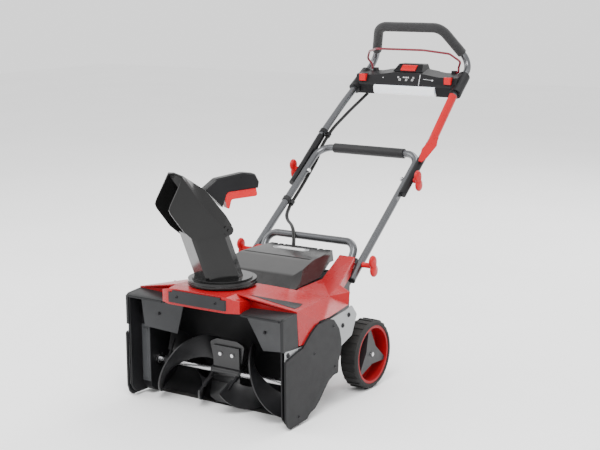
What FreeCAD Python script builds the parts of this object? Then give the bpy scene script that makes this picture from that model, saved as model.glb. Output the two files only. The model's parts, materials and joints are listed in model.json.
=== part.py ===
import FreeCAD, Part
import math
import os

V = FreeCAD.Vector

# Cordless snow blower, millimetres, +Z up, ground at Z = 0, nose towards -Y, +X to the right as seen
# from the nose. Every shape is drawn with y measured back from the front edge of the side plates
# and is moved at export so that the origin is under the middle of the machine.

# ---- driving dimensions ----
HALF_WIDTH = 270.0                  # over the side covers
WALL = 4.0                          # moulded walls of the auger housing
HOUSING_HALF = 256.0
HOUSING_TOP = 296.0
STEEL = 2.0                         # side plates, X 262 to 264
PLATE_X = 262.0
COVER_X = 264.0
GAP = 0.3                           # between bodies that move apart
PADDLE_LEAN = 2.0                   # degrees, top forward
FIT = 0.05                          # radial clearance of running fits

AUGER_Y, AUGER_Z, AUGER_R = 88.0, 98.0, 90.0
AUGER_MID = 15.0                    # the belt case on the left pushes the auger to the right
AUGER_HALF = 212.0
SHAFT_R = 8.0
TROUGH_R = 94.5
FLIGHT_PITCH = 280.0
BELT_X = -240.0
MOTOR_Y, MOTOR_Z = 272.0, 168.0
AUGER_PULLEY_R, MOTOR_PULLEY_R = 31.0, 14.0
GROOVE = 3.0
CASE_FRONT = 50.0                   # the belt case stands back from the mouth

WHEEL_Y, WHEEL_R = 438.0, 99.5
WHEEL_IN, WHEEL_OUT = 217.0, 271.0
AXLE_R = 6.0

CHUTE_Y = 93.0
CHUTE_YAW = -30.0                   # the mouth looks forward and to the left at rest
FLANGE_R = 94.0
THROAT_R = 70.0
RING_Z = 346.0
NECK_HALF = 50.0
HOOD_HALF = 53.8
HOOD_PIVOT = (2.0, 498.0)           # distance towards the mouth, height
CHUTE_WALL = 3.0
TRIGGER_TRAVEL = 4.0

TUBE_R, TUBE_BORE = 11.0, 9.5
SLEEVE_R = 11.8
LOWER_PIVOT = (497.0, 340.0)        # y, z
UPPER_PIVOT = (772.0, 548.0)
MID_X, MID_X_TOP, UP_X = 186.0, 182.0, 198.0
JOINT_FLAT = 190.0                  # both tubes are pressed flat where they lie side by side
BOLT_R = 4.0
LID_PIVOT = (486.0, 366.0)
BAIL_PIVOT = (1150.0, 841.0)
BAIL_R = 3.5
BUTTON_TRAVEL = 3.0
CABLE_R = 3.0


# ---- helpers ----
def box(x0, x1, y0, y1, z0, z1):
    return Part.makeBox(x1 - x0, y1 - y0, z1 - z0, V(x0, y0, z0))


def rod(x0, x1, y, z, r):
    return Part.makeCylinder(r, x1 - x0, V(x0, y, z), V(1, 0, 0))


def ring_x(x0, x1, y, z, r_out, r_in):
    return rod(x0, x1, y, z, r_out).cut(rod(x0 - 1, x1 + 1, y, z, r_in))


def disc(x, y, z0, z1, r):
    return Part.makeCylinder(r, z1 - z0, V(x, y, z0))


def mirror(shape):
    return shape.mirror(V(0, 0, 0), V(1, 0, 0))


def both(shape):
    return Part.makeCompound([shape, mirror(shape)])


def fuse(shapes):
    solid = shapes[0].fuse(shapes[1:]) if len(shapes) > 1 else shapes[0]
    return solid.removeSplitter()


def corner_edges(points, closed):
    """Lines and tangent arcs through (point, radius) pairs."""
    count = len(points)
    ends = []
    for i, (p, r) in enumerate(points):
        if (not closed and i in (0, count - 1)) or r <= 0:
            ends.append((p, p, None))
            continue
        a = (points[i - 1][0] - p).normalize()
        b = (points[(i + 1) % count][0] - p).normalize()
        half = a.getAngle(b) / 2
        reach = r / math.tan(half)
        middle = p + (a + b).normalize() * (r / math.sin(half) - r)
        ends.append((p + a * reach, p + b * reach, middle))
    edges = []
    for i in range(count if closed else count - 1):
        start, stop = ends[i][1], ends[(i + 1) % count][0]
        if (start - stop).Length > 1e-6:
            edges.append(Part.LineSegment(start, stop).toShape())
        into, out, middle = ends[(i + 1) % count]
        if middle is not None and (closed or i + 1 < count - 1):
            edges.append(Part.Arc(into, middle, out).toShape())
    return edges


def prism(axis, points, start, end, radius=0.0):
    """A flat outline pushed along an axis; a point may carry its own corner radius as a third value."""
    place = {"x": lambda a, b: V(start, a, b),
             "y": lambda a, b: V(a, start, b),
             "z": lambda a, b: V(a, b, start)}
    push = {"x": V(end - start, 0, 0), "y": V(0, end - start, 0), "z": V(0, 0, end - start)}
    corners = [(place[axis](p[0], p[1]), p[2] if len(p) > 2 else radius) for p in points]
    wire = Part.Wire(corner_edges(corners, True))
    return Part.Face(wire).extrude(push[axis])


def loop(points):
    return Part.makePolygon([V(*p) for p in points] + [V(*points[0])])


def loft(*loops):
    solid = Part.makeLoft([loop(points) for points in loops], True, True)
    if solid.Volume < 0:
        solid.reverse()
    return solid


def facet(points, push):
    """A plate from a fan of triangles over 3-D points, pushed along a vector."""
    plates = []
    for i in range(1, len(points) - 1):
        face = Part.Face(loop([points[0], points[i], points[i + 1]]))
        plates.append(face.extrude(V(*push)))
    return fuse(plates)


def sweep(path, r):
    start = path.Edges[0]
    first = start.valueAt(start.FirstParameter)
    along = start.tangentAt(start.FirstParameter)
    circle = Part.Wire(Part.makeCircle(r, first, along))
    return path.makePipeShell([circle], True, False)


def tube(points, bend, r_out, r_in=0.0):
    """A round tube along straight runs with bends of one radius, or of each point's own fourth value."""
    corners = [(V(*p[:3]), p[3] if len(p) > 3 else bend) for p in points]
    path = Part.Wire(corner_edges(corners, False))
    solid = sweep(path, r_out)
    return solid.cut(sweep(path, r_in)) if r_in else solid


def between(a, b, share):
    return tuple(p + (q - p) * share for p, q in zip(a, b))


def along_chute(d, s, z):
    """A point given by its distance towards the mouth, to the side, and its height."""
    return (s, CHUTE_Y - d, z)


def turned(shape):
    """Chute pieces are drawn with the mouth straight ahead, then turned to the rest position."""
    shape.rotate(V(0, CHUTE_Y, 0), V(0, 0, 1), CHUTE_YAW)
    return shape


# ---- auger housing and the shells on it ----
def auger_housing():
    """The bucket round the auger: trough, top with the throat, side walls and the belt case."""
    trough = box(-HOUSING_HALF, HOUSING_HALF, 2, TROUGH_R + WALL + AUGER_Y, AUGER_Z, HOUSING_TOP)
    curve = rod(-HOUSING_HALF, HOUSING_HALF, AUGER_Y, AUGER_Z, TROUGH_R + 3)
    lip = box(-HOUSING_HALF, HOUSING_HALF, 104.3, 300, -5, AUGER_Z)
    outer = trough.fuse(curve.common(lip))
    inside = box(-300, 300, -5, AUGER_Y + TROUGH_R, AUGER_Z, HOUSING_TOP - WALL)
    inside = inside.fuse(rod(-300, 300, AUGER_Y, AUGER_Z, TROUGH_R))
    shell = outer.cut(inside)
    front = [(2, HOUSING_TOP, 8), (2, 34, 10), (22, 10, 8), (104, 10)]
    tail = [(165, 52, 20), (215, 98, 20), (335, 120, 20), (335, 250, 20), (200, HOUSING_TOP)]
    case = [(CASE_FRONT, HOUSING_TOP, 2), (CASE_FRONT, 24, 10), (66, 10, 8), (104, 10)] + tail
    cavity = [(CASE_FRONT + 4, HOUSING_TOP - 4), (CASE_FRONT + 4, 28, 8), (68, 14, 6), (102, 14),
              (162, 56, 18), (213, 102, 18), (331, 124, 16), (331, 247, 16), (199, HOUSING_TOP - 4)]
    right = prism("x", front + [(150, 40, 12), (186, 98, 8), (186, HOUSING_TOP)],
                  HOUSING_HALF - WALL, HOUSING_HALF)
    left = prism("x", front + tail, -HOUSING_HALF, WALL - HOUSING_HALF)
    inner = prism("x", case, -226, -222)
    rim = prism("x", case, -HOUSING_HALF, -222).cut(prism("x", cavity, -300, -100))
    body = fuse([shell, right, left, inner, rim])
    shoulder = prism("z", [(256.1, 70), (227, 200), (300, 200), (300, 70)], 250, 300)
    body = body.cut(fuse([disc(0, CHUTE_Y, 280, 300, THROAT_R), rod(-300, 300, AUGER_Y, AUGER_Z, 17)]))
    body = body.cut(shoulder).cut(mirror(shoulder))
    return body.cut(rod(-230, -200, MOTOR_Y, MOTOR_Z, 16))


def front_shroud():
    """Dark corner pieces beside the red nose, with the ribbed lip, and the two inlays of the top cover."""
    top = prism("x", [(-2, 290), (-2, 296), (8, 300), (60, 304), (60, 297), (4, 297), (4, 290)], 129, 256)
    rib = prism("x", [(-5, 291), (-5, 294.5), (-2, 294.5), (-2, 291)], 135, 250)
    cheek = [(-2, 212, 3), (-2, 294), (8, 300), (60, 304), (66, 212, 3)]
    side = prism("x", cheek, 256.5, 264)
    return both(fuse([top, rib, side]))


def snow_guides():
    """Slanted light panels that lead the snow to the middle."""
    right = facet([(99, 51.1, 292), (252, 9.1, 292), (252, 22, 206), (164, 48.6, 190)], (0, 3, 0))
    left = facet([(-99, 51.1, 292), (-222, 13.1, 292), (-222, 26, 206), (-131, 56.4, 190)], (0, 3, 0))
    return Part.makeCompound([right, left])


def side_plate():
    """Galvanised plate with a tab in front and the bracket that stiffens the tail."""
    outline = [(5, 214, 3), (5, 40, 4), (20, 14, 6), (98, 16), (150, 50), (203, 92), (247, 100), (262, 160),
               (330, 182, 6), (357, 236, 8), (330, 267, 6), (300, 260), (216, 252), (170, 253), (146, 235),
               (112, 224, 6), (92, 210, 4), (40, 211)]
    plate = prism("x", outline, PLATE_X, PLATE_X + STEEL)
    for y, z in ((18, 202), (69, 201), (248, 212), (283, 220), (314, 243)):
        plate = plate.cut(rod(PLATE_X - 1, PLATE_X + 5, y, z, 3.2))
    return plate


def side_cover():
    """Black plastic cover over the steel plate, with an edge that turns in at the front."""
    outline = [(0, 188, 6), (0, 33, 8), (7, 14, 6), (18, 3, 6), (77, 8, 6), (98, 9, 8), (109, 20), (137, 28),
               (159, 44), (181, 66, 8), (203, 85, 8), (227, 95), (250, 96, 4), (253, 127), (267, 160, 8),
               (266, 187, 10), (256, 219), (246, 231), (230, 249, 8), (210, 256, 10), (149, 253, 12),
               (121, 238), (100, 222), (80, 206, 8), (57, 202)]
    cover = prism("x", outline, COVER_X, HALF_WIDTH)
    cover = cover.cut(prism("x", [(8, 180), (8, 40), (22, 14), (94, 17), (180, 80), (222, 104), (240, 130),
                                  (255, 165), (250, 210), (205, 246), (150, 242), (86, 200)],
                            COVER_X - 1, COVER_X + 2.5))
    for y, z in COVER_SCREWS:
        cover = cover.cut(rod(HALF_WIDTH - 2, HALF_WIDTH + 1, y, z, 4.2))
    return cover


COVER_SCREWS = ((134, 178), (58, 27), (228, 232), (236, 118))
PLATE_SCREWS = ((18, 202), (69, 201), (283, 220), (314, 243))


def scraper_bar():
    return prism("x", [(92, 0), (104, 0), (104, 4.2), (97, 3.6), (92, 1.6)], -243, 243)


def top_cover():
    """Red cover: raised nose and ring seat, sloping deck, folded sides and two arms beside the lid."""
    down, inward, back = (0, 0, -3), (-3, 0, 0), (0, 3, 0)
    front_corner, rear_corner = (-3, 3, 0), (-3, -3, 0)
    nose_mid, nose_bend, nose_end = (0, -22, 343), (95, -20, 340), (129, -5, 330)
    seat_front, seat_back, step = (100, 20, 343), (100, 160, 338), (129, 48, 322)
    shoulder, waist, hip = (264, 60, 308), (214, 294, 293), (210, 355, 312)
    recess, recess_side, arm_foot = (160, 192, 314), (142, 250, 314), (130, 388, 312)
    arm_in, arm_out = (123, 492, 361.6), (175, 496, 359.6)
    side_low = (264, 167, 260)
    facets = [
        facet([nose_mid, nose_bend, seat_front, (0, 20, 343)], down),
        facet([nose_bend, nose_end, step, seat_front], down),
        facet([(0, 20, 343), seat_front, seat_back, (0, 160, 338)], down),
        facet([seat_front, step, shoulder, waist, seat_back], down),
        facet([seat_back, waist, recess], down),
        facet([(0, 160, 338), seat_back, recess, (0, 202, 314)], down),
        facet([recess, waist, arm_foot, recess_side], down),
        facet([arm_foot, waist, hip, arm_out, arm_in], down),
        facet([step, (129, 48, 302), (264, 60, 302), shoulder], front_corner),
        facet([nose_mid, (0, -22, 297), (95, -20, 297), nose_bend], back),
        facet([nose_bend, (95, -20, 297), (129, -5, 297), nose_end], back),
        facet([nose_end, (129, -5, 297), (129, 48, 302), step], front_corner),
        facet([shoulder, (264, 68, 215), (264, 90, 213), (264, 112, 230), (264, 144, 240), side_low, waist],
              inward),
        facet([waist, side_low, (262, 216, 258), (258, 321, 269), (252, 340, 300), hip], inward),
        facet([hip, (252, 340, 300), (205, 380, 296)], rear_corner),
        facet([hip, (205, 380, 296), (175, 490, 326), arm_out], rear_corner),
    ]
    half = fuse(facets)
    cover = fuse([half, mirror(half)])
    return cover.cut(disc(0, CHUTE_Y, 300, 360, THROAT_R + 8)).cut(lid_solid(-2 * GAP))


def badge_plate():
    """Blank name badge, bowed with the nose."""
    plate = prism("z", [(-97, -18.6), (-93, -24.5), (0, -27), (93, -24.5), (97, -18.6), (88, -20.6),
                        (0, -22.2), (-88, -20.6)], 304, 338)
    return plate.cut(fuse([box(-120, -80, -30, 0, 332, 345), box(80, 120, -30, 0, 332, 345)]))


def chute_base_ring():
    """Fixed ring that the chute turns on, with its collar down to the throat."""
    flange = disc(0, CHUTE_Y, RING_Z, RING_Z + 8, FLANGE_R)
    collar = disc(0, CHUTE_Y, 288, RING_Z, THROAT_R + 5)
    skirt = disc(0, CHUTE_Y, RING_Z - 3, RING_Z, FLANGE_R - 4)
    ring = fuse([flange, collar, skirt])
    throat = disc(0, CHUTE_Y, 280, 360, THROAT_R)
    return ring.cut(throat).cut(disc(0, CHUTE_Y, 280, HOUSING_TOP + 0.2, 80))


# ---- drive ----
def auger_shaft():
    return rod(-252, 251, AUGER_Y, AUGER_Z, SHAFT_R)


def turned_about_shaft(shape, angle):
    shape.rotate(V(0, AUGER_Y, AUGER_Z), V(1, 0, 0), angle)
    return shape


def centre_paddle():
    """Two steel plates bolted round the shaft, each with a rubber edge, leaning with the auger."""
    x0, x1 = AUGER_MID - 44, AUGER_MID + 44
    spine = box(x0, x1, AUGER_Y - 3, AUGER_Y + 3, AUGER_Z - 72, AUGER_Z + 72)
    clamp = fuse([rod(x0, x1, AUGER_Y, AUGER_Z, 13), spine])
    blade = prism("y", [(x0 - 4, AUGER_Z + 30), (x0 - 14, AUGER_Z + 78, 8), (x0 + 10, AUGER_Z + 89, 10),
                        (x1 - 10, AUGER_Z + 89, 10), (x1 + 14, AUGER_Z + 78, 8), (x1 + 4, AUGER_Z + 30)],
                  AUGER_Y + 3, AUGER_Y + 8)
    other = blade.copy()
    other.rotate(V(AUGER_MID, AUGER_Y, AUGER_Z), V(1, 0, 0), 180)
    paddle = fuse([clamp, blade, other]).cut(rod(-300, 300, AUGER_Y, AUGER_Z, SHAFT_R))
    return turned_about_shaft(paddle, PADDLE_LEAN)


def flights(side):
    """Two rubber flights, half a turn apart, wound outwards from the middle."""
    bore = rod(-300, 300, AUGER_Y, AUGER_Z, SHAFT_R)
    start, length = 34.0, AUGER_HALF - 34.0
    solids = []
    for phase in (0, 180):
        helix = Part.makeHelix(FLIGHT_PITCH, length, 60.0)
        band = loop([(28, 0, -2.5), (AUGER_R, 0, -2.5), (AUGER_R, 0, 2.5), (28, 0, 2.5)])
        flight = Part.Wire(helix.Edges).makePipeShell([band], True, True)
        flight.rotate(V(0, 0, 0), V(0, 0, 1), phase)
        solids.append(flight)
    turn = 360.0 * start / FLIGHT_PITCH
    hub = Part.makeCylinder(13, 14, V(0, 0, 0))
    outer_hub = Part.makeCylinder(13, 14, V(0, 0, length - 14))
    spoke_angle = 360.0 * (length - 7) / FLIGHT_PITCH
    for collar, height, angle in ((hub, 7, 360.0 * 7 / FLIGHT_PITCH), (outer_hub, length - 7, spoke_angle)):
        arm = Part.makeBox(120, 10, 6, V(-60, -5, height - 3))
        arm.rotate(V(0, 0, 0), V(0, 0, 1), angle)
        solids.append(collar.fuse(arm))
    flight = fuse(solids)
    flight.rotate(V(0, 0, 0), V(0, 1, 0), 90)
    flight.translate(V(start, 0, 0))
    if side < 0:
        flight = mirror(flight)
    flight.rotate(V(0, 0, 0), V(1, 0, 0), 70 - 90 + turn + 90)
    flight.translate(V(AUGER_MID, AUGER_Y, AUGER_Z))
    return flight.cut(bore)


def paddle_bolts():
    """Bright bolts of the paddles."""
    bolts = []
    for x in (AUGER_MID - 18, AUGER_MID + 22):
        for z in (AUGER_Z + 50, AUGER_Z - 50):
            head = Part.makeCylinder(5, 4, V(x, AUGER_Y - 3, z), V(0, -1, 0))
            bolts.append(turned_about_shaft(head, PADDLE_LEAN))
    return Part.makeCompound(bolts)


def pulley(x, y, z, r, bore):
    body = fuse([rod(x - 7, x + 7, y, z, r - GROOVE), rod(x - 8, x - 6, y, z, r), rod(x + 6, x + 8, y, z, r)])
    return body.cut(rod(x - 20, x + 20, y, z, bore)) if bore else body


def motor_pulley():
    shaft = rod(-249, -150, MOTOR_Y, MOTOR_Z, 5)
    return fuse([pulley(BELT_X, MOTOR_Y, MOTOR_Z, MOTOR_PULLEY_R, 0), shaft])


def drive_belt():
    """Belt round both pulleys, drawn as the band between two outlines of two circles and their tangents."""
    def outline(extra):
        big, small = AUGER_PULLEY_R - GROOVE + extra, MOTOR_PULLEY_R - GROOVE + extra
        dy, dz = MOTOR_Y - AUGER_Y, MOTOR_Z - AUGER_Z
        apart = math.hypot(dy, dz)
        lead, lean = math.atan2(dz, dy), math.acos((big - small) / apart)
        discs = [rod(BELT_X - 5.5, BELT_X + 5.5, AUGER_Y, AUGER_Z, big),
                 rod(BELT_X - 5.5, BELT_X + 5.5, MOTOR_Y, MOTOR_Z, small)]
        corners = []
        for y, z, r, angle in ((AUGER_Y, AUGER_Z, big, lead + lean), (MOTOR_Y, MOTOR_Z, small, lead + lean),
                               (MOTOR_Y, MOTOR_Z, small, lead - lean), (AUGER_Y, AUGER_Z, big, lead - lean)):
            corners.append((y + r * math.cos(angle), z + r * math.sin(angle)))
        return fuse(discs + [prism("x", corners, BELT_X - 5.5, BELT_X + 5.5)])
    return outline(4.0).cut(outline(GAP))


def drive_motor():
    """Motor can with its end plate, on a foot under the battery tray."""
    can = fuse([rod(-150, -30, MOTOR_Y, MOTOR_Z, 42), rod(-30, -18, MOTOR_Y, MOTOR_Z, 20)])
    plate = box(-157, -150, MOTOR_Y - 46, MOTOR_Y + 46, 118, 216)
    foot = box(-157, -40, MOTOR_Y - 46, MOTOR_Y + 46, 117, 121)
    motor = fuse([can, plate, foot])
    return motor.cut(rod(-200, -140, MOTOR_Y, MOTOR_Z, 5 + FIT))


def belt_cover():
    """Light front of the belt case, beside the auger."""
    return fuse([box(-251.5, -223, 46, CASE_FRONT - 0.2, 40, 204), box(-247, -228, 43, 46.2, 50, 194)])


def auger_bearings():
    """Flanged bearings in both housing walls, with the bracket on the right."""
    right = ring_x(228, 252, AUGER_Y, AUGER_Z, 16.5, SHAFT_R + FIT)
    outline = [(60, 118, 4), (60, 78, 10), (116, 78, 10), (116, 118, 4), (104, 132, 4), (72, 132, 4)]
    bracket = prism("x", outline, 240, 252)
    bracket = bracket.cut(rod(230, 260, AUGER_Y, AUGER_Z, 16.5))
    left = ring_x(-231.5, -215, AUGER_Y, AUGER_Z, 16.5, SHAFT_R + FIT)
    return Part.makeCompound([fuse([right, bracket]), left])


# ---- chassis behind the housing ----
def rear_frame():
    """Sheet-steel frame: two long cheeks to the axle, a floor pan, and the brackets of the handle."""
    cheek = prism("x", [(191, 110), (200, 285), (330, 285), (420, 300), (460, 339.5), (494, 354.5),
                        (516, 355, 10), (516, 318, 10), (470, 280), (462, 120), (462, 84, 12), (414, 84, 12),
                        (400, 112)], 168, 171)
    cheek = cheek.cut(rod(160, 180, WHEEL_Y, WHEEL_R, AXLE_R))
    cheek = cheek.cut(rod(160, 180, LOWER_PIVOT[0], LOWER_PIVOT[1], BOLT_R + FIT))
    cheek = cheek.cut(rod(160, 180, MOTOR_Y, MOTOR_Z, 7))
    pan = box(-168, 168, 192, 430, 112, 115)
    back = box(-168, 168, 459, 462, 120, 290)
    return fuse([cheek, mirror(cheek), pan, back])


def wheel_axle():
    """Through axle with a spacer collar inside each wheel and a cap nut outside."""
    axle = rod(-268, 268, WHEEL_Y, WHEEL_R, AXLE_R)
    collar = ring_x(172, WHEEL_IN - 1, WHEEL_Y, WHEEL_R, 11, AXLE_R - 0.5)
    return fuse([axle, collar, mirror(collar)])


def lower_frame_bar():
    """Bent tube behind the lid, from bracket to bracket."""
    points = [(155, 476, 306), (155, 531, 394), (-155, 531, 394), (-155, 476, 306)]
    return tube(points, 34, TUBE_R, TUBE_BORE)


TRAY_TOP = 322.0
HINGE_EARS = (-84, -64, 56, 76)


def battery_tray():
    """Open tray for the packs, with the hinge ears of the lid."""
    tray = box(-116, 116, 232, 456, 236, TRAY_TOP).cut(box(-113, 113, 235, 453, 239, TRAY_TOP + 1))
    parts = [tray, box(-2, 2, 235, 453, 239, 280)]
    for x in HINGE_EARS:
        outline = [(453, 290), (453, 322), (480, 373, 5), (492, 373, 5), (492, 360, 5), (470, 300)]
        parts.append(prism("x", outline, x, x + 8))
    for x0, x1 in ((-84, -56), (56, 84)):
        parts.append(rod(x0, x1, LID_PIVOT[0], LID_PIVOT[1], 3))
    return fuse(parts)


def battery_packs():
    """Two packs side by side, each with rounded edges, a grip step and contact rails."""
    packs = []
    for x in (-109, 6):
        body = box(x, x + 103, 250, 380, 241, 308)
        body = body.makeFillet(5, body.Edges)
        step = box(x + 12, x + 91, 372, 396, 262, 302)
        rails = [box(x + 20, x + 26, 240, 256, 250, 290), box(x + 77, x + 83, 240, 256, 250, 290)]
        packs.append(fuse([body, step] + rails))
    return Part.makeCompound(packs)


def control_board():
    """Electronics case under the tray with the sealed lead-out."""
    case = box(20, 140, 240, 360, 130, 172)
    fins = [box(24 + 12 * i, 28 + 12 * i, 246, 354, 172, 182) for i in range(10)]
    return fuse([case] + fins)


# ---- wheels ----
def tyre(side):
    """Tyre with tread bars across its crown."""
    body = ring_x(WHEEL_IN, WHEEL_OUT, WHEEL_Y, WHEEL_R, WHEEL_R - 2.5, 84)
    shoulders = [e for e in body.Edges if e.BoundBox.XLength < 0.01 and e.BoundBox.ZLength > 180]
    body = body.makeChamfer(5, shoulders)
    bars = []
    count = 26
    for i in range(count):
        bar = box(WHEEL_IN + 6, WHEEL_OUT - 6, WHEEL_Y - 5, WHEEL_Y + 5, WHEEL_R + 88, 2 * WHEEL_R)
        bar.rotate(V(0, WHEEL_Y, WHEEL_R), V(1, 0, 0), 360.0 * i / count)
        bars.append(bar)
    solid = fuse([body] + bars)
    return solid if side > 0 else mirror(solid)


def rim(side):
    """Red rim: deep ring with a web."""
    ring = ring_x(WHEEL_IN + 3, WHEEL_OUT - 2, WHEEL_Y, WHEEL_R, 84, 76)
    web = ring_x(WHEEL_IN + 8, WHEEL_IN + 14, WHEEL_Y, WHEEL_R, 77, 20)
    solid = fuse([ring, web])
    return solid if side > 0 else mirror(solid)


def hub(side):
    """Dark star of three points, deep at the middle, on a running bore."""
    arms = []
    for i in range(3):
        outline = [(WHEEL_Y - 31, WHEEL_R), (WHEEL_Y - 5, WHEEL_R + 75, 2), (WHEEL_Y + 5, WHEEL_R + 75, 2),
                   (WHEEL_Y + 31, WHEEL_R)]
        arm = prism("x", outline, WHEEL_IN + 15, WHEEL_OUT - 8)
        arm.rotate(V(0, WHEEL_Y, WHEEL_R), V(1, 0, 0), 120.0 * i + 8)
        arms.append(arm)
    barrel = rod(WHEEL_IN, WHEEL_OUT - 8, WHEEL_Y, WHEEL_R, 19.5)
    solid = fuse(arms + [barrel])
    solid = solid.cut(rod(200, WHEEL_OUT - 3, WHEEL_Y, WHEEL_R, AXLE_R + FIT))
    return solid if side > 0 else mirror(solid)


# ---- chute ----
def neck_loop(z, lean, inset):
    """Eight-sided section of the neck at one height; the rear corners have the large chamfers."""
    back, front = -52 + lean + inset, 61 + lean - inset
    half, cut = NECK_HALF - inset, 22.0
    side = [(back, half - cut), (back + cut, half), (front - 8, half), (front, half - 8)]
    points = side + [(d, -s) for d, s in reversed(side)]
    return [along_chute(d, s, z) for d, s in points]


def chute_neck():
    """Leaning neck on its turning flange, with the two pivot studs of the hood."""
    flange = disc(0, CHUTE_Y, RING_Z + 8 + GAP, RING_Z + 15, FLANGE_R - 1)
    step = disc(0, CHUTE_Y, RING_Z + 14, RING_Z + 19, FLANGE_R - 12)
    wall = loft(neck_loop(RING_Z + 10, 0, 0), neck_loop(490, 45, 0))
    hollow = loft(neck_loop(RING_Z - 2, -4, CHUTE_WALL), neck_loop(502, 49, CHUTE_WALL))
    d, z = HOOD_PIVOT
    ear = Part.makeCylinder(13, 2 * NECK_HALF, V(*along_chute(d + 13, -NECK_HALF, z - 7)), V(1, 0, 0))
    ear = ear.cut(box(CHUTE_WALL - NECK_HALF, NECK_HALF - CHUTE_WALL, 0, 200, 440, 540))
    neck = fuse([flange, step, wall]).cut(hollow).fuse(ear)
    for tilt in HOOD_STEPS:
        neck = neck.cut(hood_shell(tilt))
    neck = max(neck.Solids, key=lambda solid: solid.Volume)
    stud = rod(NECK_HALF - CHUTE_WALL, HOOD_HALF + 3, CHUTE_Y - d, z, 4)
    return turned(fuse([neck, stud, mirror(stud)]))


def mouth(reach):
    """Rim of the hood's open mouth, below its top edge."""
    return [(164 + 2 * reach, 578), (168 + 2 * reach, 566), (164 + 2 * reach, 555),
            (128 + reach, 504 - reach), (101, 480 - reach)]


def hood_outline(inset, reach):
    """Side outline of the hood's crown: up the back, over the top, down the mouth."""
    return [(-14 + inset, 494 - reach), (-16 + inset, 507), (0.75 * inset, 534 - 0.66 * inset),
            (58 + 0.6 * inset, 607 - 0.8 * inset), (120 + reach, 650 - inset + 0.69 * reach)] + mouth(reach)


def hood_side_outline(inset, reach):
    """Outline of the flat side panel, whose upper edge is the ridge of the chamfer."""
    return [(8 + inset, 492 - reach), (10 + inset, 498), (16 + 0.75 * inset, 505 - 0.66 * inset),
            (77 + 0.8 * inset, 574 - 0.6 * inset),
            (128 + 0.8 * inset + 0.57 * reach, 648 - 0.6 * inset + 0.82 * reach)] + mouth(reach)


def hood_solid(inset, reach, half):
    crown = [along_chute(d, 34, z) for d, z in hood_outline(inset, reach)]
    crown_left = [(-x, y, z) for x, y, z in crown]
    side = [along_chute(d, half, z) for d, z in hood_side_outline(inset, reach)]
    side_left = [(-x, y, z) for x, y, z in side]
    return fuse([loft(crown_left, crown), loft(crown, side), loft(side_left, crown_left)])


HOOD_STEPS = (-12, -6, 0, 6, 12, 18, 24, 30, 35)


def hood_shell(tilt):
    """Room that the hood's wall takes at one tilt; the neck's corners are cut back from it."""
    d, z = HOOD_PIVOT
    shell = hood_solid(-GAP, 0, HOOD_HALF + GAP).cut(hood_solid(CHUTE_WALL + GAP, 30, NECK_HALF + GAP))
    shell.rotate(V(0, CHUTE_Y - d, z), V(1, 0, 0), tilt)
    return shell


def deflector_hood():
    """Hood hinged on the neck, open at the mouth and below."""
    d, z = HOOD_PIVOT
    hood = hood_solid(0, 0, HOOD_HALF).cut(hood_solid(CHUTE_WALL, 30, NECK_HALF + GAP + 0.3))
    boss = rod(NECK_HALF + GAP + 0.3, HOOD_HALF, CHUTE_Y - d, z, 14)
    hood = fuse([hood, boss, mirror(boss)])
    return turned(hood.cut(rod(-80, 80, CHUTE_Y - d, z, 4 + FIT)))


def side_prism(points, half, radius=0.0):
    return prism("x", [(CHUTE_Y - p[0],) + tuple(p[1:]) for p in points], -half, half, radius)


TRIGGER_OUTLINE = [(-97, 604), (-102, 576, 6), (-26, 572, 6), (-19, 546, 3), (-12, 550), (-4, 590),
                   (-10, 604)]


def deflector_handle():
    """Grip that stands on the hood and reaches back, slotted below for its trigger."""
    grip = side_prism([(52, 606), (18, 631, 20), (-62, 642, 60), (-95, 637, 8), (-107, 614, 6),
                       (-104, 597, 4), (-14, 592, 12), (0, 552)], 14)
    upper = [e for e in grip.Edges if abs(abs(e.CenterOfMass.x) - 14) < 0.01 and e.CenterOfMass.z > 600]
    grip = grip.makeChamfer(3.5, upper)
    roof = 606 + TRIGGER_TRAVEL + 2
    slot = side_prism([(-99, roof), (-104.5, 570), (-30, 560), (-10, 540), (0, 545), (2, roof)], 11.5)
    hood = hood_solid(0, 0, HOOD_HALF)
    return turned(grip.cut(slot).cut(hood))


def deflector_trigger():
    lever = side_prism(TRIGGER_OUTLINE, 11)
    return turned(lever.cut(hood_solid(-1.2, 0, HOOD_HALF)))


# ---- battery lid ----
def lid_solid(inset):
    """Faceted lid: the side profile crossed with a plan that narrows towards the top."""
    profile = prism("x", [(200 + 2 * inset, 315.5 - 30 * (inset > 0)), (242 + inset, 350 - inset),
                          (350, 372 - inset), (478 - inset, 376 - inset), (478 - inset, 345),
                          (452, 345 - 20 * (inset > 0)), (386, 316.5 - 20 * (inset > 0))], -200, 200)
    low = [(158 - inset, 188 + inset), (142 - inset, 250), (124 - inset, 400), (116 - inset, 480 - inset)]
    high = [(104 - inset, 216 + inset), (128 - inset, 300), (118 - inset, 404), (106 - inset, 480 - inset)]
    bottom = [(x, y, 300) for x, y in low] + [(-x, y, 300) for x, y in reversed(low)]
    top = [(x, y, 380) for x, y in high] + [(-x, y, 380) for x, y in reversed(high)]
    return profile.common(loft(bottom, top))


def battery_lid():
    lid = lid_solid(0).cut(lid_solid(2.6))
    for x in HINGE_EARS:
        lid = lid.cut(box(x - GAP, x + 8 + GAP, 465, 500, 340, 380))
    knuckles = []
    for x0, x1 in ((-75.5, -64.5), (64.5, 75.5)):
        arm = prism("x", [(470, 346), (470, 372), (490, 372, 5), (492, 360, 5)], x0, x1)
        knuckle = fuse([arm, rod(x0, x1, LID_PIVOT[0], LID_PIVOT[1], 6)])
        knuckles.append(knuckle.cut(rod(x0 - 1, x1 + 1, LID_PIVOT[0], LID_PIVOT[1], 3 + FIT)))
    return fuse([lid] + knuckles)


# ---- handle ----
MID_END, MID_TOP = (456.0, 303.0), (860.0, 612.0)


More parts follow.
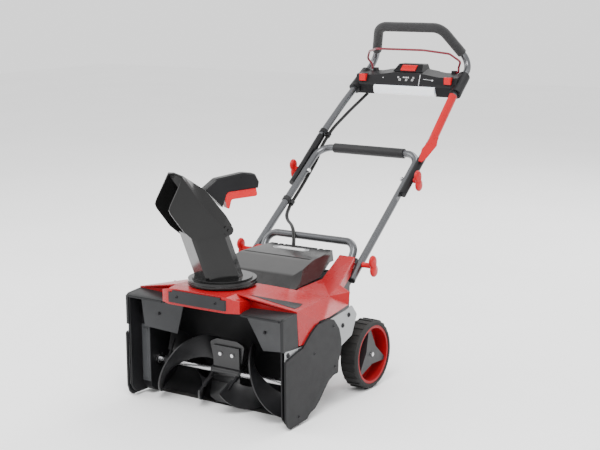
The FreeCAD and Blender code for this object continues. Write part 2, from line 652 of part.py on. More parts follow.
def pressed_flat(body, solid, x_flat, wall, y0, y1):
    """Cut a tube's side at a plane on both legs and close it there with its wall pressed flat."""
    x0, x1 = sorted((x_flat, x_flat - wall))
    web = solid.common(box(x0, x1, y0, y1, 300, 900))
    away = box(x_flat, 240, y0, y1, 300, 900) if wall > 0 else box(160, x_flat, y0, y1, 300, 900)
    body = body.cut(away).cut(mirror(away))
    return fuse([body, web, mirror(web)])


def middle_handle_tube():
    """One bent tube: two legs and the crossbar, flat outside where the upper legs lie against it."""
    half = [(MID_X, MID_END[0], MID_END[1], 0), (MID_X, LOWER_PIVOT[0], LOWER_PIVOT[1] - 3, 500),
            (MID_X_TOP, MID_TOP[0], MID_TOP[1], 48)]
    points = half + [(-x, y, z, r) for x, y, z, r in reversed(half)]
    solid = tube(points, 48, TUBE_R)
    body = solid.cut(tube(points, 48, TUBE_BORE))
    body = pressed_flat(body, solid, JOINT_FLAT, 1.5, 700, 900)
    for y, z in (LOWER_PIVOT, UPPER_PIVOT):
        body = body.cut(rod(-260, 260, y, z, BOLT_R + FIT))
    return body


def handle_foot_sweep():
    """Room for the feet of the middle handle, from upright to folded."""
    lead = V(0, LOWER_PIVOT[0] - MID_END[0], LOWER_PIVOT[1] - 3 - MID_END[1]).normalize()
    start = V(MID_X, *MID_END) - lead * 6
    steps = []
    for angle in range(0, 80, 8):
        foot = Part.makeCylinder(TUBE_R + 1.6, 130, start, lead)
        foot.rotate(V(0, *LOWER_PIVOT), V(1, 0, 0), angle)
        steps.append(foot)
    right = fuse(steps)
    return fuse([right, mirror(right)])


def middle_handle_trim():
    """Crossbar sleeve, plugs of the tube ends and the lower cable clip."""
    sleeve = ring_x(-126, 126, MID_TOP[0], MID_TOP[1], 15.5, TUBE_R)
    ends = []
    start = V(MID_X, *MID_END)
    lead = V(0, LOWER_PIVOT[0] - MID_END[0], LOWER_PIVOT[1] - 3 - MID_END[1]).normalize()
    for side in (1, -1):
        at = V(side * start.x, start.y, start.z)
        rim = Part.makeCylinder(TUBE_R + 0.8, 4, at - lead * 4, lead)
        ends.append(Part.makeCylinder(TUBE_BORE, 14, at, lead).fuse(rim))
    return Part.makeCompound([sleeve] + ends + [cable_clip(*CLIP_LOW)])


def upper_leg(side):
    """Right or left leg of the upper handle up to the loop, from its foot."""
    return [(side * UP_X, 725.0, 513.0), (side * UP_X, 915.0, 662.6), (side * 190.0, 1012.0, 738.0),
            (side * 184.0, 1112.0, 806.0)]


CLIP_TOP = (-UP_X, 903.0, 653.2, 38.2)
CLIP_LOW = (-184.1, 670.0, 468.0, 37.1)
KEEPER = (14.0, 12.0)               # inwards from the tube's middle, and below it


def cable_clip(x, y, z, slope):
    """Short strap round the tube with a keeper for the leads on its inner side."""
    lean = V(0, math.cos(math.radians(slope)), math.sin(math.radians(slope)))
    up = V(0, -lean.z, lean.y)
    at = V(x, y, z)
    centre = at + V(KEEPER[0], 0, 0) - up * KEEPER[1]
    strap = Part.makeCylinder(TUBE_R + 2.5, 14, at - lean * 7, lean)
    keeper = Part.makeCylinder(8.5, 14, centre - lean * 7, lean)
    solid = strap.fuse(keeper)
    solid = solid.cut(Part.makeCylinder(TUBE_R, 20, at - lean * 10, lean))
    for shift in (-CABLE_R, CABLE_R):
        lead = Part.makeCylinder(CABLE_R + 0.15, 20, centre + V(shift, 0, 0) - lean * 10, lean)
        solid = solid.cut(lead)
    return solid


LOOP_BEND, LOOP_TOP = (177.0, 1201.0, 869.0), (114.0, 1112.0, 985.0)


def upper_handle_tube():
    """One bent tube: two legs with a double bend and the loop that leans forward over the console."""
    half = [leg + (bend,) for leg, bend in zip(upper_leg(1), (0, 300, 300, 200))]
    half += [LOOP_BEND + (42,), LOOP_TOP + (44,)]
    points = half + [(-x, y, z, r) for x, y, z, r in reversed(half)]
    solid = tube(points, 44, TUBE_R)
    body = solid.cut(tube(points, 44, TUBE_BORE))
    body = pressed_flat(body, solid, JOINT_FLAT + GAP + 1.2, -1.5, 700, 892)
    return body.cut(rod(-260, 260, UPPER_PIVOT[0], UPPER_PIVOT[1], BOLT_R + FIT))


def upper_handle_sleeves():
    """Black sleeves over the feet of the upper tube, their end caps, and the upper cable clip."""
    parts = []
    for side in (1, -1):
        foot, bend = (V(*p) for p in upper_leg(side)[:2])
        lead = (bend - foot).normalize()
        sleeve = Part.makeCylinder(SLEEVE_R, 212, foot - lead * 3, lead)
        bore = Part.makeCylinder(TUBE_R, 240, foot, lead)
        press = box(JOINT_FLAT + GAP + 1.2, 240, 600, 1000, 400, 800)
        open_side = box(150, JOINT_FLAT + GAP, 600, 1000, 400, 800)
        sleeve = sleeve.cut(bore.common(press if side > 0 else mirror(press)))
        sleeve = sleeve.cut(open_side if side > 0 else mirror(open_side))
        x0, x1 = sorted((side * 180, side * 240))
        parts.append(sleeve.cut(rod(x0, x1, UPPER_PIVOT[0], UPPER_PIVOT[1], BOLT_R + FIT)))
    return Part.makeCompound(parts + [cable_clip(*CLIP_TOP)])


def foam_grip():
    """Foam over the loop, from low on one rise to low on the other."""
    low = between(LOOP_BEND, LOOP_TOP, 0.28)
    points = [low, LOOP_TOP]
    points += [(-x, y, z) for x, y, z in reversed(points)]
    return tube(points, 44, 16, TUBE_R)


CONSOLE = [(1088, 767), (1080, 797), (1094, 839), (1150, 851), (1162, 833), (1134, 789), (1112, 765)]
CONSOLE_END = [(1088, 767), (1080, 797), (1090, 829), (1150, 841), (1160, 827), (1134, 789), (1112, 765)]
SPLIT = [(1040, 790), (1200, 846), (1200, 730), (1040, 730)]
CONSOLE_SLOPE, CONSOLE_HALF = (48.0, 118.0), 186.0


POD_SLOPE = math.radians(43.0)
POWER_HALF = 12.5


def on_pod(along, out):
    """y, z of a point on the pod's sloping face, from its middle: up the slope and out of it."""
    lean, rise = math.cos(POD_SLOPE), math.sin(POD_SLOPE)
    return 1112.3 + along * lean - out * rise, 853.2 + along * rise + out * lean


def console_parts():
    """Console shell in two halves between two collars on the legs of the tube, with pockets for keys."""
    x0, x1 = CONSOLE_SLOPE
    body = prism("x", CONSOLE, -x0, x0)
    slope = loft([(x0, y, z) for y, z in CONSOLE], [(x1, y, z) for y, z in CONSOLE_END])
    end = prism("x", CONSOLE_END, x1, CONSOLE_HALF)
    leg, beyond = V(*upper_leg(1)[3]), V(*LOOP_BEND)
    lead = (beyond - leg).normalize()
    collar = Part.makeCylinder(19.5, 88, leg - lead * 44, lead)
    pod = prism("y", [(-54, 842), (-44, 866, 4), (44, 866, 4), (54, 842)], 1096, 1160)
    pod = pod.cut(prism("x", [on_pod(-60, 0), on_pod(60, 0), on_pod(60, 40), on_pod(-60, 40)], -60, 60))
    bosses = prism("x", [(1138, 834), (1138, 848, 4), (1156, 848, 4), (1158, 834)], 140, 152)
    solid = fuse([body, slope, mirror(slope), end, mirror(end), collar, mirror(collar), pod,
                  bosses, mirror(bosses)])
    hollow = prism("x", [(1095, 785), (1088, 799), (1098, 824), (1148, 835), (1153, 826), (1130, 792)],
                   3 - CONSOLE_HALF, CONSOLE_HALF - 26)
    hollow = hollow.cut(box(-300, 3 - CONSOLE_HALF + 23, 1000, 1300, 700, 900))
    under = prism("x", [(1060, 730), (1060, 775), (1102, 780), (1200, 806), (1200, 730)], -113, 113)
    bore = Part.makeCylinder(TUBE_R, 140, leg - lead * 70, lead)
    bend = Part.makeCylinder(TUBE_R + 1, 60, leg - lead * 70, lead)
    pockets = [box(x - GAP, x + 24 + GAP, 1062, 1102, 808 - GAP, 831 + GAP) for x in (145, -169)]
    across = POWER_HALF + GAP
    pockets.append(prism("x", [on_pod(-across, -8), on_pod(across, -8), on_pod(across, 9),
                               on_pod(-across, 9)], -27 - GAP, 27 + GAP))
    solid = solid.cut(fuse([hollow, under])).cut(bore).cut(mirror(bore)).cut(bend).cut(mirror(bend))
    for pocket in pockets:
        solid = solid.cut(pocket)
    relief = box(152, 170, BAIL_PIVOT[0] - 10, BAIL_PIVOT[0] + 10, BAIL_PIVOT[1] - BAIL_R - GAP, 870)
    solid = solid.cut(relief).cut(mirror(relief))
    solid = solid.cut(rod(-153, 153, BAIL_PIVOT[0], BAIL_PIVOT[1], BAIL_R + FIT))
    lower_half = prism("x", SPLIT, -240, 240)
    return solid.common(lower_half), solid.cut(lower_half).removeSplitter()


def led_lens():
    outline = [(1076, 774, 3), (1073, 792, 3), (1079.5, 798), (1087.5, 768), (1082, 768, 3)]
    return prism("x", outline, -112, 112)


def power_button():
    outline = [on_pod(-POWER_HALF, -4.2), on_pod(-POWER_HALF, 1.5), on_pod(4 - POWER_HALF, 3.5),
               on_pod(POWER_HALF - 4, 3.5), on_pod(POWER_HALF, 1.5), on_pod(POWER_HALF, -4.2)]
    return prism("x", outline, -27, 27)


def side_button(side):
    key = box(145, 169, 1076, 1092, 808, 831)
    key = key.makeFillet(2.5, [e for e in key.Edges if e.CenterOfMass.y < 1077])
    return key if side > 0 else mirror(key)


def bail():
    """Bent wire bow that the hands squeeze against the loop."""
    y, z = BAIL_PIVOT
    half = [(142, y, z, 0), (160, y, z, 6), (161, y - 2, z + 18, 10), (173, 1138, 878, 14),
            (148, 1108, 904, 26), (86, 1050, 917, 30)]
    points = half + [(-a, b, c, r) for a, b, c, r in reversed(half)]
    return tube(points, 20, BAIL_R)


def cleaning_tool():
    """Gutter-shaped scraper clipped over the right leg, with a skewed spade end."""
    length, inner, wall = 200.0, 12.6, 2.4
    gutter = Part.makeCylinder(inner + wall, length, V(0, 0, 0), V(1, 0, 0))
    gutter = gutter.cut(Part.makeCylinder(inner, length, V(0, 0, 0), V(1, 0, 0)))
    gutter = gutter.common(Part.makeBox(length, 60, 30, V(0, -30, 6.5)))
    ridge = Part.makeBox(length - 6, 5, 2.5, V(0, -2.5, inner + wall - 0.5))
    spade = [(14, -12), (0, -13), (-19, -17, 3), (-82, -4), (-103, 4, 2), (-106, 15, 2), (-58, 21, 3),
             (-29, 15), (0, 13), (14, 12)]
    blade = prism("z", spade, inner, inner + 3.4)
    tool = fuse([gutter, ridge, blade])
    foot, top = V(*upper_leg(1)[1]), V(*upper_leg(1)[2])
    lead = (top - foot).normalize()
    foot = foot - lead * 18
    level, across = tool_axes(lead)
    frame = FreeCAD.Matrix(lead.x, across.x, level.x, foot.x, lead.y, across.y, level.y, foot.y,
                           lead.z, across.z, level.z, foot.z, 0, 0, 0, 1)
    tool.transformShape(frame)
    return tool


def tool_axes(lead):
    """The tool looks half upwards and half outwards from its leg."""
    up = V(0, 0, 1) - lead * lead.z
    up.normalize()
    out = lead.cross(up)
    level = (up + out).normalize()
    return level, level.cross(lead)


def knob(x, pivot, side, inner, wing_x):
    """Wing knob with its bolt through the tubes, and the nut on the inside."""
    y, z = pivot
    hub = rod(x, wing_x + 2, y, z, 8).fuse(rod(wing_x, wing_x + 12, y, z, 11))
    wing = prism("x", [(y - 7, z - 33, 7), (y + 9, z - 30, 7), (y + 6, z, 14), (y + 9, z + 31, 7),
                       (y - 8, z + 33, 7), (y - 6, z, 14)], wing_x, wing_x + 11)
    bolt = rod(inner, x + 8, y, z, BOLT_R)
    nut = rod(inner - 5, inner + 2, y, z, 7)
    solid = fuse([hub, wing, bolt, nut])
    return solid if side > 0 else mirror(solid)


# ---- leads ----
UPPER_LEAD = [(-150, 1098, 764), (-154, 1062, 745), (-161, 1020, 722), (-171, 972, 691), (-184, 930, 659.2),
              (-184, 894, 630.9)]
MIDDLE_LEAD = [(-184, 894, 630.9), (-184, 868, 610), (-181, 840, 574), (-179, 796, 540), (-175, 752, 509),
               (-170.1, 710, 483.2), (-170.1, 669.6, 452.7)]
LOWER_LEAD = [(-170.1, 669.6, 452.7), (-164, 640, 432), (-140, 606, 424), (-112, 574, 422), (-80, 544, 420),
              (-56, 520, 404), (-46, 504, 372), (-44, 494, 336), (-44, 482, 300), (-44, 462, 272)]


LEADS = {"lead_upper": UPPER_LEAD, "lead_middle": MIDDLE_LEAD, "lead_lower": LOWER_LEAD}
LEAD_GAP = 0.4                      # at each end, where the next stretch begins


def lead_pair(name, points):
    """Two leads side by side along one route of straight runs and tangent arcs."""
    leads = []
    for shift in (-CABLE_R - 0.1, CABLE_R + 0.1):
        route = [V(x + shift, y, z) for x, y, z in points]
        route[0] += (route[1] - route[0]).normalize() * LEAD_GAP
        route[-1] += (route[-2] - route[-1]).normalize() * LEAD_GAP
        corners = [(route[0], 0)]
        radii = []
        for before, here, after in zip(route, route[1:], route[2:]):
            run = min((before - here).Length, (after - here).Length)
            turn = math.pi - (before - here).getAngle(after - here)
            radii.append(0.45 * run / math.tan(turn / 2))
            corners.append((here, radii[-1]))
        corners.append((route[-1], 0))
        path = Part.Wire(corner_edges(corners, False))
        leads.append(sweep(path, CABLE_R))
    share = leads[0].Volume / (math.pi * CABLE_R ** 2 * path.Length)
    print(name, "length", round(path.Length), "radii", [round(r) for r in radii], "volume", round(share, 3))
    return Part.makeCompound(leads)


def cover_fasteners():
    """Screws of the side covers and plates, the badge and the guides."""
    screws = []
    for y, z in COVER_SCREWS:
        screws.append(rod(HALF_WIDTH - 2, HALF_WIDTH - 0.4, y, z, 4.2))
    for y, z in PLATE_SCREWS:
        shank = rod(PLATE_X - 2, PLATE_X + STEEL + 2.5, y, z, 3.2)
        screws.append(fuse([shank, rod(PLATE_X + STEEL, PLATE_X + STEEL + 3, y, z, 5.5)]))
    pairs = [both(s) for s in screws]
    badge = [Part.makeCylinder(4, 3, V(x, -24.4, 321), V(0, -1, 0)) for x in (-64, 64)]
    guides = [Part.makeCylinder(3.5, 3, V(x, y, 246), V(0, -1, 0)) for x, y in ((180, 37), (-175, 36))]
    return Part.makeCompound(pairs + badge + guides)


# ---- export ----
def nodes():
    console_base, console_top = console_parts()
    lower = (MID_X + TUBE_R + GAP, 140.0, 227.0)
    upper = (UP_X + SLEEVE_R + GAP, 169.0, 219.0)
    bar = lower_frame_bar()
    bar = bar.cut(rod(-200, 200, LOWER_PIVOT[0], LOWER_PIVOT[1], BOLT_R + FIT))
    screws, belt = cover_fasteners(), drive_belt()
    cover = top_cover().cut(handle_foot_sweep())
    middle, upper_tube = middle_handle_tube(), upper_handle_tube()
    paddle, bolts = centre_paddle(), paddle_bolts()
    shroud = front_shroud().cut(cover).cut(both(side_plate()))
    leads = {name: lead_pair(name, points) for name, points in LEADS.items()}
    return {
        "auger_housing": auger_housing().cut(belt).cut(cover).cut(shroud),
        "front_shroud": shroud,
        "snow_guides": snow_guides().cut(screws),
        "side_plate_right": side_plate(),
        "side_plate_left": mirror(side_plate()),
        "side_cover_right": side_cover().cut(screws),
        "side_cover_left": mirror(side_cover()).cut(screws),
        "scraper_bar": scraper_bar(),
        "top_cover": cover,
        "badge_plate": badge_plate().cut(screws).cut(cover),
        "chute_base_ring": chute_base_ring(),
        "battery_tray": battery_tray(),
        "battery_packs": battery_packs(),
        "control_board": control_board(),
        "drive_motor": drive_motor(),
        "belt_cover": belt_cover(),
        "drive_belt": belt,
        "auger_bearings": auger_bearings(),
        "rear_frame": rear_frame().cut(leads["lead_lower"]),
        "lower_frame_bar": bar.cut(leads["lead_lower"]),
        "wheel_axle": wheel_axle(),
        "cover_fasteners": screws,
        "auger_shaft": auger_shaft(),
        "centre_paddle": paddle.cut(bolts),
        "flights_right": flights(1).cut(paddle),
        "flights_left": flights(-1).cut(paddle),
        "paddle_bolts": bolts,
        "auger_pulley": pulley(BELT_X, AUGER_Y, AUGER_Z, AUGER_PULLEY_R, SHAFT_R),
        "motor_pulley": motor_pulley(),
        "tyre_right": tyre(1),
        "tyre_left": tyre(-1),
        "rim_right": rim(1),
        "rim_left": rim(-1),
        "hub_right": hub(1),
        "hub_left": hub(-1),
        "chute_neck": chute_neck(),
        "deflector_hood": deflector_hood(),
        "deflector_handle": deflector_handle(),
        "deflector_trigger": deflector_trigger(),
        "battery_lid": battery_lid(),
        "middle_handle_tube": middle,
        "middle_handle_trim": middle_handle_trim().cut(leads["lead_middle"]).cut(middle),
        "upper_handle_tube": upper_tube,
        "upper_handle_sleeves": upper_handle_sleeves().cut(leads["lead_upper"]).cut(upper_tube),
        "foam_grip": foam_grip(),
        "console_base": console_base,
        "console_top": console_top,
        "led_lens": led_lens(),
        "power_button": power_button(),
        "side_button_right": side_button(1),
        "side_button_left": side_button(-1),
        "bail": bail(),
        "cleaning_tool": cleaning_tool(),
        "knob_lower_right": knob(lower[0], LOWER_PIVOT, 1, lower[1], lower[2]),
        "knob_lower_left": knob(lower[0], LOWER_PIVOT, -1, lower[1], lower[2]),
        "knob_upper_right": knob(upper[0], UPPER_PIVOT, 1, upper[1], upper[2]),
        "knob_upper_left": knob(upper[0], UPPER_PIVOT, -1, upper[1], upper[2]),
        **leads,
    }


def main():
    os.makedirs("parts", exist_ok=True)
    shapes = nodes()
    front = shapes["deflector_hood"].optimalBoundingBox(True, False).YMin
    back = shapes["upper_handle_tube"].optimalBoundingBox(True, False).YMax
    print("origin at station", round((front + back) / 2, 3), "length", round(back - front, 1))
    for name, shape in shapes.items():
        solid = shape.copy()
        solid.translate(V(0, -(front + back) / 2, 0))
        solid.exportStep(f"parts/{name}.step")


main()
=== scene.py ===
import json
import math

import bmesh
import bpy
from mathutils import Matrix, Vector, noise


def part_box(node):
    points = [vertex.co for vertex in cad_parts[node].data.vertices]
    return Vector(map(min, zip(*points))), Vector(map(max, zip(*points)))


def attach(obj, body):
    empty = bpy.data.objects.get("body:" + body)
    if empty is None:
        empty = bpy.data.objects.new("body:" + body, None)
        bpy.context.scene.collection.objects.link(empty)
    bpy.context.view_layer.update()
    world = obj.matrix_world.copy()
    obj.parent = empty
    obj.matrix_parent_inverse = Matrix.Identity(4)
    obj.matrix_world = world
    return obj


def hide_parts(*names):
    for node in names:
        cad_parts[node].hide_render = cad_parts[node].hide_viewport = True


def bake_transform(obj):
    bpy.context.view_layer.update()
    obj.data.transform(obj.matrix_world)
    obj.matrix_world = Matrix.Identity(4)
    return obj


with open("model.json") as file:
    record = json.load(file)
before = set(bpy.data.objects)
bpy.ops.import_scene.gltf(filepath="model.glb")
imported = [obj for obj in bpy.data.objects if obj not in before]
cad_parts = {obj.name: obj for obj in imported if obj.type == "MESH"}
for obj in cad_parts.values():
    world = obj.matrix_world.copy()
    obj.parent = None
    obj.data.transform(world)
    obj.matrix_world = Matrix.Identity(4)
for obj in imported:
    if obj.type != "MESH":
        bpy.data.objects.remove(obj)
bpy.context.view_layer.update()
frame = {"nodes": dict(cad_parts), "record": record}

NODES = frame["nodes"]
BODY = {n: b for b, members in frame["record"]["behaviour"]["bodies"].items() for n in members}
STATION = 0.558109                  # the frame's origin, behind the side plates' front edge
WELD = 0.00002                      # points closer than this are one point
CABLE_R = 0.003
STRAND_SHIFT = 3.1                  # mm from the pair's middle to each strand
FRONT_OUT = Vector((0, -0.949, 0.316))   # out of the console's sloping front


# ---- materials ----
def node_material(name):
    """A new material with its node tree and its main shader."""
    mat = bpy.data.materials.new(name)
    mat.use_nodes = True
    tree = mat.node_tree
    shader = tree.nodes["Principled BSDF"]
    return mat, tree, shader


def add(tree, kind, **values):
    """A new node, its sockets or settings given by name."""
    made = tree.nodes.new(kind)
    for key, value in values.items():
        if key in made.inputs:
            made.inputs[key].default_value = value
        else:
            setattr(made, key, value)
    return made


def scaled(colour, k):
    """The colour made lighter or darker, with full alpha."""
    return tuple(min(1.0, c * k) for c in colour) + (1.0,)


def noise_at(tree, scale, detail=4.0, stretch=None):
    """Noise on the object's own coordinates, stretched along an axis for brushed grain."""
    coords = add(tree, "ShaderNodeTexCoord")
    made = add(tree, "ShaderNodeTexNoise", Scale=scale, Detail=detail)
    source = coords.outputs["Object"]
    if stretch:
        mapping = add(tree, "ShaderNodeMapping")
        mapping.inputs["Scale"].default_value = stretch
        tree.links.new(source, mapping.inputs["Vector"])
        source = mapping.outputs["Vector"]
    tree.links.new(source, made.inputs["Vector"])
    return made


def ramp_between(tree, value, low, high, at=(0.3, 0.7)):
    """Colour that runs from low to high as the value crosses a span."""
    ramp = add(tree, "ShaderNodeValToRGB")
    ramp.color_ramp.elements[0].position = at[0]
    ramp.color_ramp.elements[0].color = low
    ramp.color_ramp.elements[1].position = at[1]
    ramp.color_ramp.elements[1].color = high
    tree.links.new(value, ramp.inputs["Fac"])
    return ramp.outputs["Color"]


def range_between(tree, value, low, high, at=(0.25, 0.75)):
    """Number that runs from low to high as the value crosses a span."""
    made = add(tree, "ShaderNodeMapRange")
    made.inputs["From Min"].default_value = at[0]
    made.inputs["From Max"].default_value = at[1]
    made.inputs["To Min"].default_value = low
    made.inputs["To Max"].default_value = high
    tree.links.new(value, made.inputs["Value"])
    return made.outputs["Result"]


def mixed(tree, share, a, b):
    """Blend of two colours, each a constant or a socket."""
    made = add(tree, "ShaderNodeMix", data_type="RGBA")
    tree.links.new(share, made.inputs["Factor"])
    for socket, value in ((made.inputs[6], a), (made.inputs[7], b)):
        if isinstance(value, tuple):
            socket.default_value = value
        else:
            tree.links.new(value, socket)
    return made.outputs[2]


def dust_share(tree, amount):
    """Settled dust: more on faces that look up, in soft patches."""
    coords = add(tree, "ShaderNodeTexCoord")
    split = add(tree, "ShaderNodeSeparateXYZ")
    tree.links.new(coords.outputs["Normal"], split.inputs["Vector"])
    up = range_between(tree, split.outputs["Z"], 0.15, 1.0, (0.0, 1.0))
    patches = range_between(tree, noise_at(tree, 14.0, 6.0).outputs["Fac"], 0.2, 1.0, (0.35, 0.7))
    product = add(tree, "ShaderNodeMath", operation="MULTIPLY")
    tree.links.new(up, product.inputs[0])
    tree.links.new(patches, product.inputs[1])
    final = add(tree, "ShaderNodeMath", operation="MULTIPLY")
    tree.links.new(product.outputs["Value"], final.inputs[0])
    final.inputs[1].default_value = amount
    return final.outputs["Value"]


def bump_from(tree, shader, value, strength, depth):
    made = add(tree, "ShaderNodeBump", Strength=strength, Distance=depth)
    tree.links.new(value, made.inputs["Height"])
    tree.links.new(made.outputs["Normal"], shader.inputs["Normal"])


def plastic(name, colour, rough, grain=1400.0, bump=0.25, tone=0.12, coat=0.0, dust=0.02, spread=0.06,
            shine=0.16):
    """Moulded plastic: leather-fine texture, slight cloudiness, uneven gloss and settled dust."""
    mat, tree, shader = node_material(name)
    clouds = noise_at(tree, 11.0, 5.0).outputs["Fac"]
    base = ramp_between(tree, clouds, scaled(colour, 1 - tone), scaled(colour, 1 + tone))
    if dust:
        base = mixed(tree, dust_share(tree, dust), base, (0.42, 0.41, 0.39, 1.0))
    tree.links.new(base, shader.inputs["Base Color"])
    smears = noise_at(tree, 38.0, 7.0).outputs["Fac"]
    tree.links.new(range_between(tree, smears, rough - spread, rough + spread), shader.inputs["Roughness"])
    fine = noise_at(tree, grain, 2.0).outputs["Fac"]
    bump_from(tree, shader, fine, bump, 0.0002)
    shader.inputs["Coat Weight"].default_value = coat
    shader.inputs["Coat Roughness"].default_value = 0.08
    shader.inputs["Specular IOR Level"].default_value = shine
    return mat


def rubber(name, colour, rough=0.72, grain=520.0, bump=0.5, dust=0.1):
    """Matt rubber, mottled and dusty."""
    mat, tree, shader = node_material(name)
    clouds = noise_at(tree, 23.0, 6.0).outputs["Fac"]
    base = ramp_between(tree, clouds, scaled(colour, 0.75), scaled(colour, 1.3))
    base = mixed(tree, dust_share(tree, dust), base, (0.33, 0.31, 0.28, 1.0))
    tree.links.new(base, shader.inputs["Base Color"])
    tree.links.new(range_between(tree, clouds, rough - 0.08, rough + 0.1), shader.inputs["Roughness"])
    bump_from(tree, shader, noise_at(tree, grain, 5.0).outputs["Fac"], bump, 0.0003)
    shader.inputs["Specular IOR Level"].default_value = 0.35
    return mat


def foam(name):
    """Closed-cell foam: small open pores in a matt skin, the pores painted darker as shade inside them."""
    mat, tree, shader = node_material(name)
    coords = add(tree, "ShaderNodeTexCoord")
    cells = add(tree, "ShaderNodeTexVoronoi", Scale=1100.0)
    tree.links.new(coords.outputs["Object"], cells.inputs["Vector"])
    pore_relief_and_shade = range_between(tree, cells.outputs["Distance"], 0.0, 1.0, (0.08, 0.5))
    # Painted shade: the pores' colour is darker than the skin, standing in for shade inside them; the same
    # mask also gives the pores' relief.
    base = ramp_between(tree, pore_relief_and_shade, (0.003, 0.003, 0.003, 1), (0.026, 0.026, 0.027, 1), (0.1, 0.8))
    tree.links.new(base, shader.inputs["Base Color"])
    clouds = noise_at(tree, 30.0).outputs["Fac"]
    tree.links.new(range_between(tree, clouds, 0.86, 0.98), shader.inputs["Roughness"])
    bump_from(tree, shader, pore_relief_and_shade, 0.6, 0.0004)
    shader.inputs["Specular IOR Level"].default_value = 0.25
    shader.inputs["Sheen Weight"].default_value = 0.15
    return mat


def metal(name, colour, rough, stretch, scale=40.0):
    """Bare metal with its rolling or turning grain."""
    mat, tree, shader = node_material(name)
    grain = noise_at(tree, scale, 6.0, stretch).outputs["Fac"]
    blotches = noise_at(tree, 12.0, 5.0).outputs["Fac"]
    base = ramp_between(tree, grain, scaled(colour, 0.88), scaled(colour, 1.12))
    stains = ramp_between(tree, blotches, scaled(colour, 0.7), scaled(colour, 1.0), (0.3, 0.5))
    share = add(tree, "ShaderNodeMath", operation="MULTIPLY")
    tree.links.new(blotches, share.inputs[0])
    share.inputs[1].default_value = 0.5
    tree.links.new(mixed(tree, share.outputs["Value"], base, stains), shader.inputs["Base Color"])
    tree.links.new(range_between(tree, grain, rough - 0.08, rough + 0.1), shader.inputs["Roughness"])
    bump_from(tree, shader, grain, 0.12, 0.0002)
    shader.inputs["Metallic"].default_value = 1.0
    return mat


def metallic_paint(name, colour, rough, metallic):
    """Powder or flake paint on tube: tiny flakes, faint orange peel and a few scuffs."""
    mat, tree, shader = node_material(name)
    coords = add(tree, "ShaderNodeTexCoord")
    cells = add(tree, "ShaderNodeTexVoronoi", Scale=2600.0)
    tree.links.new(coords.outputs["Object"], cells.inputs["Vector"])
    base = ramp_between(tree, cells.outputs["Distance"], scaled(colour, 1.25), scaled(colour, 0.85),
                        (0.1, 0.6))
    scuffs = noise_at(tree, 55.0, 8.0, (1, 5, 1)).outputs["Fac"]
    marks = range_between(tree, scuffs, 0.0, 0.3, (0.66, 0.78))
    base = mixed(tree, marks, base, scaled(colour, 0.45))
    tree.links.new(base, shader.inputs["Base Color"])
    tree.links.new(range_between(tree, scuffs, rough - 0.05, rough + 0.12), shader.inputs["Roughness"])
    bump_from(tree, shader, noise_at(tree, 120.0, 2.0).outputs["Fac"], 0.08, 0.0004)
    shader.inputs["Metallic"].default_value = metallic
    shader.inputs["Coat Weight"].default_value = 0.25
    shader.inputs["Coat Roughness"].default_value = 0.15
    return mat


def frosted(name):
    """White light diffuser with fine upright ribs inside, and a faint painted glow that brightens it."""
    mat, tree, shader = node_material(name)
    coords = add(tree, "ShaderNodeTexCoord")
    ribs = add(tree, "ShaderNodeTexWave", Scale=95.0, bands_direction="X")
    ribs.inputs["Distortion"].default_value = 0.0
    tree.links.new(coords.outputs["Object"], ribs.inputs["Vector"])
    base = ramp_between(tree, ribs.outputs["Fac"], (0.72, 0.73, 0.76, 1), (0.93, 0.94, 0.96, 1))
    tree.links.new(base, shader.inputs["Base Color"])
    clouds = noise_at(tree, 60.0).outputs["Fac"]
    tree.links.new(range_between(tree, clouds, 0.18, 0.32), shader.inputs["Roughness"])
    bump_from(tree, shader, ribs.outputs["Fac"], 0.35, 0.0006)
    shader.inputs["Subsurface Weight"].default_value = 0.15
    # Painted glow: a faint white emission makes the diffuser brighter than its lighting would.
    shader.inputs["Emission Color"].default_value = (1, 1, 1, 1)
    shader.inputs["Emission Strength"].default_value = 0.08
    return mat


